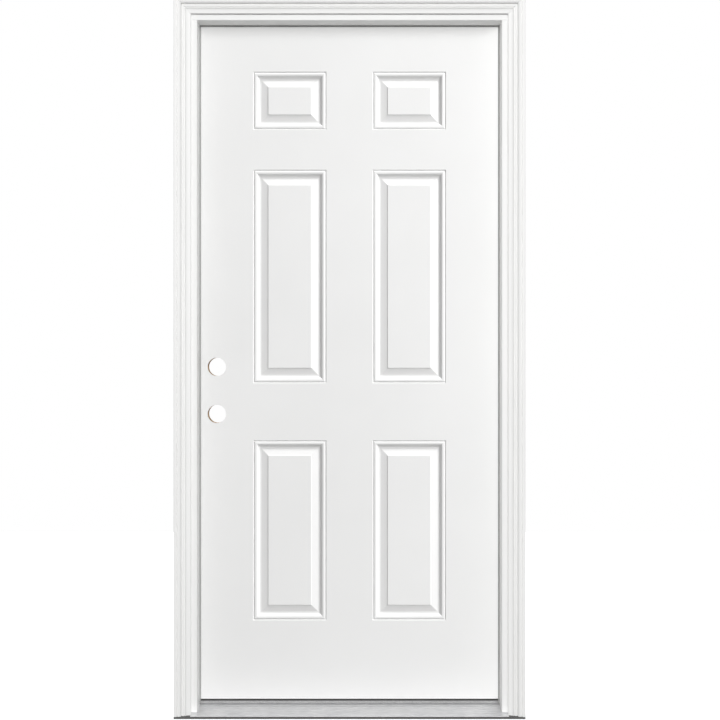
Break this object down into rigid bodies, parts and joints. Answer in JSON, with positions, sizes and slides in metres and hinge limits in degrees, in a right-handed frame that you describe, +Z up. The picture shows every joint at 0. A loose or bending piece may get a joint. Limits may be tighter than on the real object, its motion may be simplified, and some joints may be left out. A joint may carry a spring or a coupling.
{
  "type": "panelled front door with frame",
  "caption": "Inward-opening panelled steel entry door hung on butt hinges in a timber frame, with brickmould, weatherstrip and sill, bored for a lockset and a deadbolt.",
  "frame": {"origin": "middle of the sill's underside, on the plane of the jambs' outside edges, which is the back of the brickmould", "axes": "+X to the hinge side, which is on the right seen from outside; +Y into the house; +Z up"},
  "size_m": [1.0192, 0.1609, 2.0965],
  "materials": {
    "primed_jamb": "satin",
    "primed_moulding": "satin",
    "weatherstrip": "matte",
    "seal_foam": "matte",
    "primed_steel": "satin",
    "insulating_foam": "matte",
    "bare_timber": "matte",
    "laminated_block": "matte",
    "rail_composite": "matte",
    "sweep_vinyl": "matte",
    "sill_composite": "matte",
    "sill_aluminium": "satin",
    "cap_composite": "matte",
    "hinge_steel": "satin",
    "screw_steel": "satin",
    "nail_steel": "satin"
  },
  "bodies": {
    "frame": {"hinge_jamb": "primed_jamb", "latch_jamb": "primed_jamb", "head_jamb": "primed_jamb", "frame_corner_screws": "screw_steel", "sill_corner_screws": "screw_steel", "brickmould_left": "primed_moulding", "brickmould_right": "primed_moulding", "brickmould_head": "primed_moulding", "brickmould_nails": "nail_steel", "weatherstrip_latch": "weatherstrip", "weatherstrip_hinge": "weatherstrip", "weatherstrip_head": "weatherstrip", "corner_pads": "seal_foam", "sill_base": "sill_composite", "sill_deck": "sill_aluminium", "sill_cap": "cap_composite", "upper_jamb_leaf": "hinge_steel", "middle_jamb_leaf": "hinge_steel", "lower_jamb_leaf": "hinge_steel", "jamb_leaf_screws": "screw_steel", "upper_hinge_pin": "hinge_steel", "middle_hinge_pin": "hinge_steel", "lower_hinge_pin": "hinge_steel"},
    "door": {"exterior_skin": "primed_steel", "interior_skin": "primed_steel", "foam_core": "insulating_foam", "lock_stile": "bare_timber", "hinge_stile": "bare_timber", "lock_block": "laminated_block", "top_rail": "bare_timber", "bottom_rail": "rail_composite", "door_sweep": "sweep_vinyl", "upper_door_leaf": "hinge_steel", "middle_door_leaf": "hinge_steel", "lower_door_leaf": "hinge_steel", "door_leaf_screws": "screw_steel"}
  },
  "joints": [
    {"name": "door_swing", "type": "hinge", "parent": "frame", "child": "door", "pos_m": [0.4556, 0.12275, 1.05], "axis": [0, 0, -1], "range_deg": [0, 170]}
  ]
}
